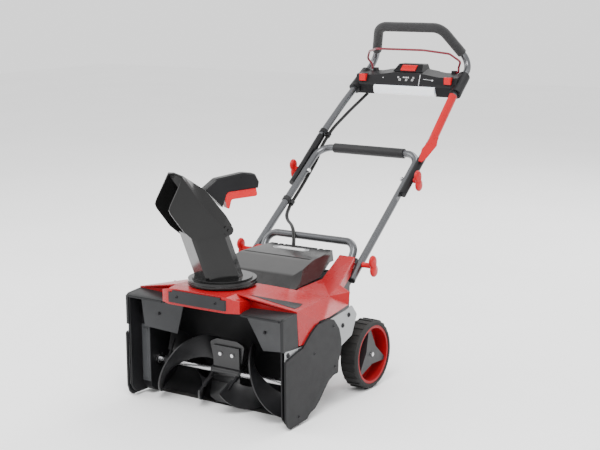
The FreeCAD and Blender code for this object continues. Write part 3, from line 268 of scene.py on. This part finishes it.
M = {
    "housing": plastic("housing_black", (0.008, 0.008, 0.009), 0.5),
    "shroud": plastic("shroud_dark_grey", (0.010, 0.0105, 0.0115), 0.42, shine=0.22),
    "guide": plastic("guide_grey", (0.028, 0.029, 0.031), 0.42, grain=900.0, shine=0.25),
    "cover_black": plastic("side_cover_black", (0.007, 0.007, 0.008), 0.4),
    "red": plastic("cover_red", (0.30, 0.003, 0.006), 0.28, grain=700.0, bump=0.08, tone=0.06, coat=0.06,
                   dust=0.004, shine=0.25),
    "red_knob": plastic("knob_red", (0.40, 0.004, 0.008), 0.3, grain=900.0, bump=0.1, tone=0.07, coat=0.1,
                        dust=0.008),
    "red_key": plastic("key_red", (0.50, 0.006, 0.010), 0.26, grain=1600.0, bump=0.06, tone=0.05, coat=0.2,
                       dust=0.0),
    "inlay": plastic("inlay_dark", (0.007, 0.007, 0.008), 0.4, grain=1000.0),
    "badge": plastic("badge_grey", (0.010, 0.0105, 0.012), 0.34, grain=1800.0, shine=0.25),
    "gloss": plastic("chute_black", (0.005, 0.005, 0.005), 0.17, grain=420.0, bump=0.04, dust=0.004,
                     spread=0.05, shine=0.3),
    "handle_black": plastic("handle_black", (0.007, 0.007, 0.008), 0.32, grain=1200.0),
    "lid": plastic("lid_smoke", (0.010, 0.0095, 0.0095), 0.2, grain=500.0, bump=0.04, tone=0.15, coat=0.05,
                   dust=0.005, shine=0.35),
    "console": plastic("console_black", (0.006, 0.006, 0.007), 0.33, grain=1300.0),
    "console_lower": plastic("console_underside", (0.008, 0.008, 0.009), 0.42, grain=1100.0),
    "tray": plastic("tray_black", (0.009, 0.009, 0.01), 0.5),
    "case_grey": plastic("belt_case_grey", (0.05, 0.052, 0.055), 0.42, grain=1000.0),
    "pack": plastic("pack_black", (0.012, 0.012, 0.013), 0.45),
    "rim": plastic("rim_red", (0.25, 0.005, 0.008), 0.36, grain=900.0, bump=0.12, dust=0.02),
    "hub": plastic("hub_grey", (0.016, 0.0165, 0.018), 0.4, grain=1100.0, shine=0.3),
    "print": plastic("print_white", (0.55, 0.55, 0.55), 0.5, grain=1800.0, bump=0.05, dust=0.0),
    "scraper": rubber("scraper_rubber", (0.012, 0.012, 0.012), 0.6, dust=0.05),
    "flight": rubber("flight_rubber", (0.007, 0.007, 0.008), 0.42, grain=380.0, dust=0.02),
    "tyre": rubber("tyre_rubber", (0.008, 0.008, 0.008), 0.75, grain=700.0, dust=0.05),
    "belt": rubber("belt_rubber", (0.008, 0.008, 0.008), 0.7),
    "lead": rubber("lead_jacket", (0.006, 0.006, 0.006), 0.4, grain=1500.0, bump=0.15, dust=0.01),
    "trim": rubber("sleeve_rubber", (0.007, 0.007, 0.008), 0.5, grain=900.0, bump=0.3, dust=0.01),
    "foam": foam("grip_foam"),
    "steel": metal("plate_steel", (0.30, 0.305, 0.31), 0.42, stretch=(3, 60, 3)),
    "bright": metal("turned_steel", (0.52, 0.52, 0.53), 0.22, stretch=(90, 3, 3)),
    "bolt": metal("bolt_steel", (0.56, 0.56, 0.57), 0.28, stretch=(1, 1, 1), scale=300.0),
    "dark_bolt": metal("black_screw", (0.03, 0.03, 0.032), 0.34, stretch=(1, 1, 1), scale=260.0),
    "aluminium": metal("cast_aluminium", (0.42, 0.43, 0.44), 0.5, stretch=(1, 1, 1), scale=120.0),
    "silver": metal("silver_trim", (0.55, 0.56, 0.57), 0.28, stretch=(3, 3, 60)),
    "tube": metallic_paint("tube_grey", (0.115, 0.118, 0.125), 0.24, metallic=0.85),
    "bar": metallic_paint("bar_grey", (0.085, 0.087, 0.092), 0.3, metallic=0.8),
    "frame": metallic_paint("frame_black", (0.009, 0.009, 0.01), 0.42, metallic=0.2),
    "paddle": metallic_paint("paddle_black", (0.012, 0.012, 0.013), 0.36, metallic=0.3),
    "bail": metallic_paint("bail_dark_red", (0.16, 0.004, 0.016), 0.3, metallic=0.3),
    "lens": frosted("led_diffuser"),
}

LOOK = {
    "auger_housing": "housing", "front_shroud": "shroud", "snow_guides": "guide",
    "side_plate_right": "steel", "side_plate_left": "steel",
    "side_cover_right": "cover_black", "side_cover_left": "cover_black", "scraper_bar": "scraper",
    "top_cover": "red", "badge_plate": "badge", "chute_base_ring": "gloss", "battery_tray": "tray",
    "battery_packs": "pack", "control_board": "aluminium", "drive_motor": "aluminium",
    "belt_cover": "case_grey", "drive_belt": "belt", "auger_bearings": "bright", "rear_frame": "frame",
    "lower_frame_bar": "bar", "wheel_axle": "bolt", "cover_fasteners": "dark_bolt",
    "auger_shaft": "bright", "centre_paddle": "paddle", "flights_right": "flight", "flights_left": "flight",
    "paddle_bolts": "bolt", "auger_pulley": "inlay", "motor_pulley": "bolt",
    "tyre_right": "tyre", "tyre_left": "tyre", "rim_right": "rim", "rim_left": "rim",
    "hub_right": "hub", "hub_left": "hub", "chute_neck": "gloss", "deflector_hood": "gloss",
    "deflector_handle": "handle_black", "deflector_trigger": "red_key", "battery_lid": "lid",
    "middle_handle_tube": "tube", "middle_handle_trim": "trim", "upper_handle_tube": "tube",
    "upper_handle_sleeves": "handle_black", "foam_grip": "foam", "console_base": "console_lower",
    "console_top": "console", "led_lens": "lens", "power_button": "red_key",
    "side_button_right": "red_key", "side_button_left": "red_key", "bail": "bail",
    "cleaning_tool": "red_knob", "knob_lower_right": "red_knob", "knob_lower_left": "red_knob",
    "knob_upper_right": "red_knob", "knob_upper_left": "red_knob",
    "lead_upper": "lead", "lead_middle": "lead", "lead_lower": "lead",
}


def paint(obj, look):
    """Gives a piece or a node its one material."""
    obj.data.materials.clear()
    obj.data.materials.append(M[look])


for node, look in LOOK.items():
    paint(NODES[node], look)


# ---- helpers for pieces ----
def piece_from(bm, name, body, look, smooth=35.0):
    """An object made from a built mesh, painted, named and riding its body."""
    mesh = bpy.data.meshes.new(name)
    bm.to_mesh(mesh)
    bm.free()
    obj = bpy.data.objects.new(name, mesh)
    bpy.context.scene.collection.objects.link(obj)
    if smooth:
        mesh.shade_smooth()
        mesh.set_sharp_from_angle(angle=math.radians(smooth))
    paint(obj, look)
    if body:
        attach(obj, body)
    return obj


def refined(node, width):
    """The node's own shape with rounded edges, as moulded or pressed parts have."""
    bm = bmesh.new()
    bm.from_mesh(NODES[node].data)
    bmesh.ops.remove_doubles(bm, verts=bm.verts, dist=WELD)
    bmesh.ops.dissolve_limit(bm, angle_limit=math.radians(0.6), verts=bm.verts, edges=bm.edges)
    edges = [e for e in bm.edges if len(e.link_faces) == 2 and e.calc_face_angle(0.0) > math.radians(28.0)
             and e.calc_length() > 0.0006]
    bmesh.ops.bevel(bm, geom=edges, offset=width, offset_type="OFFSET", segments=2, profile=0.6,
                    affect="EDGES", clamp_overlap=True)
    obj = piece_from(bm, node + "_form", BODY[node], LOOK[node], 40.0)
    weighted = obj.modifiers.new("weighted", "WEIGHTED_NORMAL")
    weighted.keep_sharp = True
    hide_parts(node)


def at(x, s, z):
    """A point from millimetres: across, back from the front edge of the side plates, and up."""
    return Vector((x / 1000, s / 1000 - STATION, z / 1000))


REFINED = {
    "front_shroud": 0.0022, "snow_guides": 0.0012, "side_cover_right": 0.002, "side_cover_left": 0.002,
    "top_cover": 0.0016, "badge_plate": 0.001, "chute_base_ring": 0.0012, "chute_neck": 0.0012,
    "deflector_hood": 0.0012, "deflector_handle": 0.002, "deflector_trigger": 0.0015, "battery_lid": 0.0014,
    "console_base": 0.002, "console_top": 0.0024, "led_lens": 0.0008, "power_button": 0.001,
    "side_plate_right": 0.0005, "side_plate_left": 0.0005, "belt_cover": 0.002,
    "cleaning_tool": 0.0006, "hub_right": 0.0016, "hub_left": 0.0016,
    "rim_right": 0.001, "rim_left": 0.001, "tyre_right": 0.0008, "tyre_left": 0.0008,
}
for node, width in REFINED.items():
    refined(node, width)


# ---- detail pieces ----
def plate_on(points, thick, name, body, look, bevel=0.0003):
    """Thin plate standing proud of a face: its outline's points go round anticlockwise seen from outside."""
    bm = bmesh.new()
    low = [bm.verts.new(p) for p in points]
    normal = (points[1] - points[0]).cross(points[2] - points[1]).normalized()
    high = [bm.verts.new(p + normal * thick) for p in points]
    bm.faces.new(list(reversed(low)))
    bm.faces.new(high)
    count = len(points)
    for i in range(count):
        bm.faces.new((low[i], low[(i + 1) % count], high[(i + 1) % count], high[i]))
    bmesh.ops.bevel(bm, geom=list(bm.edges), offset=bevel, segments=2, profile=0.6, affect="EDGES",
                    clamp_overlap=True)
    return piece_from(bm, name, body, look)


def frame_about(axis):
    """Rotation that takes +Z to an axis."""
    return Vector(axis).to_track_quat("Z", "Y").to_matrix().to_4x4()


def lathe_into(bm, centre, axis, profile, count=28, socket=0.0, depth=0.0):
    """A turned shape from (radius, height) pairs, closed at the bottom, with a hex socket in its top."""
    place = Matrix.Translation(centre) @ frame_about(axis)
    angles = [2 * math.pi * i / count for i in range(count)]

    def ring(radii, h):
        return [bm.verts.new(place @ Vector((r * math.cos(a), r * math.sin(a), h)))
                for r, a in zip(radii, angles)]

    rings = [ring([r] * count, h) for r, h in profile]
    if socket:
        top = profile[-1][1]
        flats = [socket * math.cos(math.pi / 6) / math.cos(a % (math.pi / 3) - math.pi / 6) for a in angles]
        rings += [ring(flats, top), ring(flats, top - depth)]
    for low, high in zip(rings, rings[1:]):
        for i in range(count):
            bm.faces.new((low[i], low[(i + 1) % count], high[(i + 1) % count], high[i]))
    bm.faces.new(list(reversed(rings[0])))
    bm.faces.new(rings[-1])


COVER_SCREWS = ((134, 178), (58, 27), (228, 232), (236, 118))
PLATE_SCREWS = ((18, 202), (69, 201), (283, 220), (314, 243))


def screw_heads():
    """Pan heads with hex sockets over washers, in place of the plain fasteners."""
    bm = bmesh.new()
    spots = []
    for s, z in COVER_SCREWS:
        spots += [(at(side * 268.6, s, z), (side, 0, 0), 0.0041) for side in (1, -1)]
    plate_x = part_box("side_plate_right")[1].x * 1000
    for s, z in PLATE_SCREWS:
        spots += [(at(side * plate_x, s, z), (side, 0, 0), 0.0056) for side in (1, -1)]
    spots += [(at(x, -24.2, 321), (0, -1, 0), 0.0042) for x in (-64, 64)]
    spots += [(at(x, s - 0.5, 246), (0, -1, 0), 0.0037) for x, s in ((180, 34.5), (-175, 33.5))]
    for centre, axis, r in spots:
        profile = [(r * 1.25, -0.001), (r * 1.25, 0.0004), (r * 1.18, 0.0007), (r * 1.02, 0.0007),
                   (r, 0.0016), (r * 0.93, 0.0024), (r * 0.78, 0.0029)]
        lathe_into(bm, centre, axis, profile, 30, r * 0.5, 0.0015)
    made = piece_from(bm, "screw_heads", "chassis", "dark_bolt", 30)
    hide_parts("cover_fasteners")


def wing(node, side, s, z, x_boss, x_face, lean):
    """Moulded wing knob: two fat lobes on a round boss, thinner to their rims."""
    bm = bmesh.new()
    count, rings = 72, 12
    place = Matrix.Translation(at(side * x_face, s, z)) @ frame_about((side, 0, 0))
    spin = Matrix.Rotation(lean, 4, "Z")

    def reach(angle):
        lobe = abs(math.sin(angle)) ** 1.3
        return 0.0122 + 0.0205 * lobe

    def skin_point(face, share, angle):
        r = reach(angle) * share
        crown = 0.0056 + 0.0026 * math.exp(-(r / 0.009) ** 2) + 0.0012 * math.sin(angle) ** 2
        edge = math.sqrt(max(0.0, 1 - share ** 6))
        height = 0.006 + face * crown * (0.25 + 0.75 * edge)
        return place @ spin @ Vector((r * math.cos(angle) * 0.9, r * math.sin(angle), height))

    angles = [2 * math.pi * i / count for i in range(count)]
    shares = [k / rings for k in range(1, rings + 1)]
    top, low = ([[bm.verts.new(skin_point(face, share, a)) for a in angles] for share in shares]
                for face in (1, -1))
    caps = [bm.verts.new(skin_point(face, 0.0, 0.0)) for face in (1, -1)]
    for grid, cap, flip in ((top, caps[0], False), (low, caps[1], True)):
        for i in range(count):
            j = (i + 1) % count
            tri = (cap, grid[0][i], grid[0][j])
            bm.faces.new(tri[::-1] if flip else tri)
            for inner, outer in zip(grid, grid[1:]):
                quad = (inner[i], outer[i], outer[j], inner[j])
                bm.faces.new(quad[::-1] if flip else quad)
    for i in range(count):
        j = (i + 1) % count
        bm.faces.new((top[-1][i], low[-1][i], low[-1][j], top[-1][j]))
    run = (x_face + 2 - x_boss) / 1000
    lathe_into(bm, at(side * x_boss, s, z), (side, 0, 0),
               [(0.0078, 0), (0.0086, 0.0008), (0.0086, 0.0035), (0.0078, 0.0045), (0.0078, run)], 36)
    made = piece_from(bm, node + "_wing", BODY[node], "red_knob", 60)
    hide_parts(node)


def bolt_and_nut(node, side, s, z, x_in, x_out):
    """Carriage bolt through both tubes, with a hex nut and washer inside."""
    bm = bmesh.new()
    lathe_into(bm, at(side * x_in, s, z), (side, 0, 0),
               [(0.0037, -0.004), (0.004, -0.0034), (0.004, (x_out - x_in) / 1000)], 24)
    washer = [(0.0072, 0.0002), (0.0072, 0.0013), (0.007, 0.0015)]
    nut = [(0.0062, 0), (0.0069, 0.0008), (0.0069, 0.005)]
    lathe_into(bm, at(side * x_in, s, z), (side, 0, 0), washer, 32)
    lathe_into(bm, at(side * (x_in - 5), s, z), (side, 0, 0), nut, 6)
    piece_from(bm, node + "_bolt", BODY[node], "bolt", 30)


def foam_cover():
    """Soft foam tube with rounded ends and a slightly uneven skin."""
    bm = bmesh.new()
    bm.from_mesh(NODES["foam_grip"].data)
    bmesh.ops.remove_doubles(bm, verts=bm.verts, dist=WELD)
    made = piece_from(bm, "foam_cover", "upper_handle", "foam", 0)
    remesh = made.modifiers.new("even", "REMESH")
    remesh.mode = "VOXEL"
    remesh.voxel_size = 0.0022
    soft = made.modifiers.new("soft", "SMOOTH")
    soft.factor = 0.6
    soft.iterations = 8
    graph = bpy.context.evaluated_depsgraph_get()
    mesh = bpy.data.meshes.new_from_object(made.evaluated_get(graph))
    made.modifiers.clear()
    for vert in mesh.vertices:
        wave = noise.noise(vert.co * 60.0) * 0.00025 + noise.noise(vert.co * 400.0) * 0.00012
        vert.co += vert.normal * wave
    mesh.shade_smooth()
    made.data = mesh
    paint(made, "foam")
    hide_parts("foam_grip")


LEAD_ROUTES = {
    "lead_upper": [(-150, 1098, 764), (-154, 1062, 745), (-161, 1020, 722), (-171, 972, 691),
                   (-184, 930, 659.2), (-184, 894, 630.9)],
    "lead_middle": [(-184, 894, 630.9), (-184, 868, 610), (-181, 840, 574), (-179, 796, 540),
                    (-175, 752, 509), (-170.1, 710, 483.2), (-170.1, 669.6, 452.7)],
    "lead_lower": [(-170.1, 669.6, 452.7), (-164, 640, 432), (-140, 606, 424), (-112, 574, 422),
                   (-80, 544, 420), (-56, 520, 404), (-46, 504, 372), (-44, 494, 336), (-44, 482, 300),
                   (-44, 462, 272)],
}
LEAD_BENDS = {
    "lead_middle": ("middle_handle", "upper_handle", (-170.1, 710, 483.2), (-184, 868, 610)),
    "lead_lower": ("chassis", "middle_handle", (-44, 494, 336), (-164, 640, 432)),
}


def leads():
    """Twin leads on smooth lines; the stretches past a fold ride no body."""
    for node, route in LEAD_ROUTES.items():
        for strand, shift in (("near", -STRAND_SHIFT), ("far", STRAND_SHIFT)):
            curve = bpy.data.curves.new(node + "_" + strand + "_line", "CURVE")
            curve.dimensions = "3D"
            curve.bevel_depth = CABLE_R
            curve.bevel_resolution = 5
            curve.resolution_u = 10
            curve.use_fill_caps = True
            spline = curve.splines.new("NURBS")
            spline.points.add(len(route) - 1)
            for i, (x, s, z) in enumerate(route):
                spline.points[i].co = (*at(x + shift, s, z), 1.0)
            spline.order_u = 3
            spline.use_endpoint_u = True
            line = bpy.data.objects.new(node + "_" + strand + "_line", curve)
            mesh = bpy.data.meshes.new_from_object(line)
            bpy.data.objects.remove(line)
            bm = bmesh.new()
            bm.from_mesh(mesh)
            bmesh.ops.remove_doubles(bm, verts=bm.verts, dist=WELD / 2)
            body = None if node in LEAD_BENDS else BODY[node]
            made = piece_from(bm, node + "_" + strand, body, "lead", 60)
            if node in LEAD_BENDS:
                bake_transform(made)
            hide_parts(node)


def deck_inlay():
    """Dark textured inlay let into the sloping deck, a wedge that widens to the side."""
    def on_deck(x, s):
        return at(x, s, 343 - 0.188 * (x - 100) - 0.1043 * (s - 20) + 0.25)
    points = [on_deck(x, s) for x, s in ((121, 50), (246, 76), (242, 104), (228, 141))]
    plate_on(points, 0.0006, "deck_inlay", "chassis", "inlay")


def lid_details():
    """Twin ribs across the lid and the silver plate behind them."""
    def on_lid(x, s):
        return at(x, s, 372 + (s - 350) * 4 / 128 + 0.05)
    for k, s in enumerate((352, 357)):
        points = [on_lid(x, v) for x, v in ((-118, s), (112, s), (112, s + 1.8), (-118, s + 1.8))]
        plate_on(points, 0.0006, "lid_rib_%d" % k, "lid", "console")
    points = [on_lid(x, v) for x, v in ((-62, 424), (40, 424), (52, 436), (44, 454), (-70, 454), (-76, 438))]
    plate_on(points, 0.0005, "lid_plate", "lid", "silver")
    points = [on_lid(x, v) for x, v in ((-48, 430), (30, 430), (38, 437), (32, 448), (-54, 448), (-60, 438))]
    plate_on([p + Vector((0, 0, 0.0004)) for p in points], 0.0004, "lid_plate_field", "lid", "print")


def on_front(x, up):
    """A point on the console's front face, by its height above the face's foot, a hair proud."""
    return at(x, 1080 + up * 14 / 44.3 - 0.2, 797 + up * 42 / 44.3)


def console_marks():
    """Plain printed marks, the silver strip and line with its dot, and a bezel round each side key."""
    bm = bmesh.new()

    def bar(x0, x1, u0, u1):
        corners = [on_front(x0, u0), on_front(x1, u0), on_front(x1, u1), on_front(x0, u1)]
        low = [bm.verts.new(p) for p in corners]
        high = [bm.verts.new(p + FRONT_OUT * 0.00025) for p in corners]
        bm.faces.new(list(reversed(low)))
        bm.faces.new(high)
        for i in range(4):
            bm.faces.new((low[i], low[(i + 1) % 4], high[(i + 1) % 4], high[i]))

    for k in range(4):
        bar(-10 + 6 * k, -6.5 + 6 * k, 27, 31)
    for x in (-30, 26):
        for dx, du in ((0, 0), (3.2, 0), (0, 3.2), (3.2, 3.2)):
            bar(x + dx, x + dx + 2.2, 26 + du, 28.2 + du)
    for x in (-24, 0, 22):
        bar(x, x + 7, 18, 19.2)
        bar(x, x + 1.2, 19.2, 23)
        bar(x + 5.8, x + 7, 19.2, 23)
        bar(x, x + 7, 23, 24.2)
    for dx in (0, 1.6, 3.2):
        bar(-86 + dx, -85 + dx, 24, 27)
    piece_from(bm, "console_symbols", "upper_handle", "print", 0)
    points = [on_front(51, 3), on_front(53.4, 3), on_front(53.4, 40), on_front(51, 40)]
    plate_on(points, 0.0007, "console_strip", "upper_handle", "silver")
    points = [on_front(66, 25), on_front(96, 22.5), on_front(96, 23.7), on_front(66, 26.2)]
    plate_on(points, 0.0004, "console_line", "upper_handle", "silver", 0.0001)
    bm = bmesh.new()
    dot = [(0.0028, 0), (0.0028, 0.0005), (0.0024, 0.0007)]
    lathe_into(bm, on_front(99, 22.5), FRONT_OUT, dot, 24)
    piece_from(bm, "console_dot", "upper_handle", "silver", 30)
    for side, name in ((1, "right"), (-1, "left")):
        outer = [(143, 9), (171, 9), (171, 36), (143, 36)]
        inner = [(144.6, 10.6), (169.4, 10.6), (169.4, 34.4), (144.6, 34.4)]
        bm = bmesh.new()
        out = FRONT_OUT * 0.0012
        loops = []
        for shape, lift in ((outer, -0.6), (outer, 1.0), (inner, 1.0), (inner, -0.6)):
            loops.append([bm.verts.new(on_front(side * x, u) + out * lift) for x, u in shape])
        for low, high in zip(loops, loops[1:] + loops[:1]):
            for i in range(4):
                quad = (low[i], low[(i + 1) % 4], high[(i + 1) % 4], high[i])
                bm.faces.new(quad if side > 0 else quad[::-1])
        piece_from(bm, "key_bezel_" + name, "upper_handle", "console_lower", 30)


screw_heads()
for knob, side, s, z, x_in, x_boss, x_face in (
    ("knob_lower_right", 1, 497, 340, 140, 197.3, 227), ("knob_lower_left", -1, 497, 340, 140, 197.3, 227),
    ("knob_upper_right", 1, 772, 548, 169, 210.1, 219), ("knob_upper_left", -1, 772, 548, 169, 210.1, 219),
):
    wing(knob, side, s, z, x_boss, x_face, math.radians(14) * side)
    bolt_and_nut(knob, side, s, z, x_in, x_face - 6)
foam_cover()
leads()
deck_inlay()
lid_details()
console_marks()


# ---- floor, light and camera ----
def studio():
    """Pale floor, white surroundings and three soft lamps."""
    bm = bmesh.new()
    bmesh.ops.create_grid(bm, x_segments=8, y_segments=8, size=9.0)
    mesh = bpy.data.meshes.new("studio_floor")
    bm.to_mesh(mesh)
    bm.free()
    floor = bpy.data.objects.new("studio_floor", mesh)
    bpy.context.scene.collection.objects.link(floor)
    mat, tree, shader = node_material("pale_floor")
    clouds = noise_at(tree, 1.5).outputs["Fac"]
    base = ramp_between(tree, clouds, (0.93, 0.93, 0.93, 1), (0.96, 0.96, 0.96, 1))
    tree.links.new(base, shader.inputs["Base Color"])
    shader.inputs["Roughness"].default_value = 0.75
    shader.inputs["Specular IOR Level"].default_value = 0.2
    mesh.materials.append(mat)
    world = bpy.data.worlds.new("studio")
    world.use_nodes = True
    world.node_tree.nodes["Background"].inputs["Color"].default_value = (1.0, 1.0, 1.0, 1.0)
    world.node_tree.nodes["Background"].inputs["Strength"].default_value = 1.45
    bpy.context.scene.world = world
    for name, place, size, power, aim in (
        ("key", (1.2, -2.4, 3.4), 2.0, 165.0, (0, 0, 0.3)),
        ("fill", (-2.8, -1.2, 2.4), 2.4, 60.0, (0, 0, 0.4)),
        ("rim", (0.4, 2.6, 3.0), 2.4, 110.0, (0, 0, 0.5)),
    ):
        lamp = bpy.data.lights.new(name, "AREA")
        lamp.size = size
        lamp.energy = power
        obj = bpy.data.objects.new(name, lamp)
        obj.location = place
        obj.rotation_euler = (Vector(aim) - Vector(place)).to_track_quat("-Z", "Y").to_euler()
        bpy.context.scene.collection.objects.link(obj)


def camera():
    """The view the machine is drawn from: right of its front, a little above."""
    turn, tilt, roll = (math.radians(a) for a in (33.90, 11.19, -0.33))
    right = Vector((math.cos(turn), math.sin(turn), 0))
    ahead = Vector((-math.sin(turn) * math.cos(tilt), math.cos(turn) * math.cos(tilt), -math.sin(tilt)))
    up = right.cross(ahead)
    x = right * math.cos(roll) + up * math.sin(roll)
    y = up * math.cos(roll) - right * math.sin(roll)
    lens = bpy.data.cameras.new("view")
    lens.sensor_width = 36.0
    lens.lens = 79.02
    obj = bpy.data.objects.new("view", lens)
    turned = Matrix((x, y, -ahead)).transposed().to_4x4()
    obj.matrix_world = Matrix.Translation((2.103, -3.2181, 1.186)) @ turned
    bpy.context.scene.collection.objects.link(obj)
    bpy.context.scene.camera = obj


studio()
camera()
